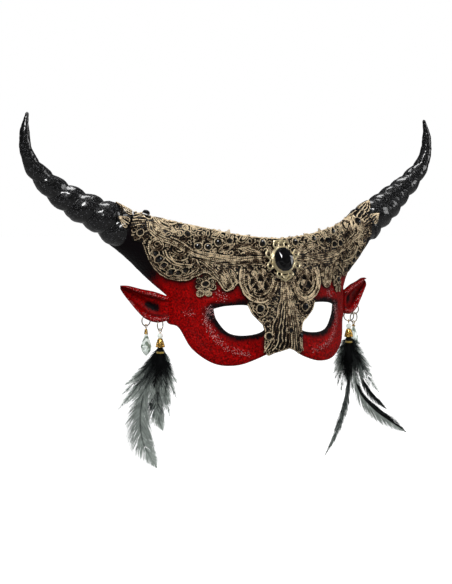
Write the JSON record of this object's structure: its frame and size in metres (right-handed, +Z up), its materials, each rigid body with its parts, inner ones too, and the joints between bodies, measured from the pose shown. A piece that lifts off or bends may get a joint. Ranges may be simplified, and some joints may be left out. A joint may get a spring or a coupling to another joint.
{
  "type": "horned carnival half mask",
  "caption": "Devil half mask with pointed ears, ridged black horns, corded lace and a brooch over the brow, and swinging crystal and feather earrings.",
  "frame": {"origin": "on the inner face of the nose bridge, midway between the eyes, where the mask rests on its wearer", "axes": "+X to the right as seen from the front, along the line of the horns; the front faces -Y; +Z up"},
  "size_m": [0.3838, 0.1014, 0.2885],
  "materials": {
    "shell_paint": "crimson glitter paint over moulded papier-mache, shaded black at the eyes and horn roots",
    "horn_paint": "gloss black with fine glitter",
    "lace": "stiffened corded lace, brushed antique gold over brown",
    "antique_gold": "cast filigree, pale antique gold",
    "ring_wire": "bright thin wire",
    "gold": "bright gold plate",
    "jet": "faceted black stone, polished",
    "crystal": "clear faceted glass with a faint green cast",
    "thread": "yellow thread",
    "feather": "black down fading to translucent grey vanes"
  },
  "bodies": {
    "mask": {"mask_shell": "shell_paint", "lace_brow_right": "lace", "lace_brow_left": "lace", "lace_nose": "lace", "lace_flower_right": "lace", "lace_flower_left": "lace", "horn_right": "horn_paint", "horn_left": "horn_paint", "lace_leaf_upper_right": "lace", "lace_leaf_upper_left": "lace", "lace_leaf_lower_right": "lace", "lace_leaf_lower_left": "lace", "ear_right": "shell_paint", "ear_left": "shell_paint", "nose_stone_right": "jet", "nose_stone_left": "jet", "nose_low_stone_right": "jet", "nose_low_stone_left": "jet", "brow_top_stone_right": "jet", "brow_top_stone_left": "jet", "flower_stone_right": "jet", "flower_stone_left": "jet", "row_stone_1_right": "jet", "row_stone_1_left": "jet", "row_stone_2_right": "jet", "row_stone_2_left": "jet", "row_stone_3_right": "jet", "row_stone_3_left": "jet", "crescent_stone_1_right": "jet", "crescent_stone_1_left": "jet", "crescent_stone_2_right": "jet", "crescent_stone_2_left": "jet", "nose_centre_stone": "jet", "horn_stone_right": "jet", "horn_stone_left": "jet", "brooch_setting": "antique_gold", "brooch_stone": "jet"},
    "outer_ring_left": {"ring_outer_left": "ring_wire"},
    "crystal_left": {"crystal_bail_left": "gold", "crystal_drop_left": "crystal"},
    "inner_ring_left": {"ring_inner_left": "ring_wire"},
    "tassel_left": {"eye_pin_left": "gold", "clear_bead_left": "crystal", "bead_cap_left": "gold", "feather_fluff_left": "feather", "thread_wrap_left": "thread", "feather_broad_left": "feather"},
    "outer_ring_right": {"ring_outer_right": "ring_wire"},
    "link_ring_right": {"ring_link_right": "ring_wire"},
    "crystal_right": {"crystal_bail_right": "gold", "crystal_drop_right": "crystal"},
    "inner_ring_right": {"ring_inner_right": "ring_wire"},
    "tassel_right": {"eye_pin_right": "gold", "clear_bead_right": "crystal", "bead_cap_right": "gold", "feather_fluff_right": "feather", "thread_wrap_right": "thread", "feather_narrow_right": "feather", "feather_side_right": "feather"}
  },
  "joints": [
    {"name": "outer_ring_left_swing", "type": "hinge", "parent": "mask", "child": "outer_ring_left", "pos_m": [-0.09625, 0.05645, -0.0083], "axis": [0.9725, 0.2328, 0], "range_deg": [-20, 20]},
    {"name": "crystal_left_swing", "type": "hinge", "parent": "outer_ring_left", "child": "crystal_left", "pos_m": [-0.09625, 0.05645, -0.01535], "axis": [-0.2328, 0.9725, 0], "range_deg": [-8, 30]},
    {"name": "inner_ring_left_swing", "type": "hinge", "parent": "mask", "child": "inner_ring_left", "pos_m": [-0.08689, 0.04991, -0.0117], "axis": [0.8337, 0.5522, 0], "range_deg": [-22, 6]},
    {"name": "tassel_left_swing", "type": "hinge", "parent": "inner_ring_left", "child": "tassel_left", "pos_m": [-0.08689, 0.04991, -0.01875], "axis": [-0.5522, 0.8337, 0], "range_deg": [-28, 6]},
    {"name": "outer_ring_right_swing", "type": "hinge", "parent": "mask", "child": "outer_ring_right", "pos_m": [0.0984, 0.05792, -0.0064], "axis": [0.8473, -0.5312, 0], "range_deg": [-6, 20]},
    {"name": "link_ring_right_swing", "type": "hinge", "parent": "outer_ring_right", "child": "link_ring_right", "pos_m": [0.0984, 0.05792, -0.01345], "axis": [0.9664, 0.2571, 0], "range_deg": [-20, 20]},
    {"name": "crystal_right_swing", "type": "hinge", "parent": "link_ring_right", "child": "crystal_right", "pos_m": [0.0984, 0.05792, -0.0205], "axis": [-0.2571, 0.9664, 0], "range_deg": [-30, 6]},
    {"name": "inner_ring_right_swing", "type": "hinge", "parent": "mask", "child": "inner_ring_right", "pos_m": [0.08987, 0.05193, -0.0115], "axis": [0.7648, -0.6442, 0], "range_deg": [-22, 4]},
    {"name": "tassel_right_swing", "type": "hinge", "parent": "inner_ring_right", "child": "tassel_right", "pos_m": [0.08987, 0.05193, -0.01855], "axis": [0.6442, 0.7648, 0], "range_deg": [-18, 25]}
  ]
}
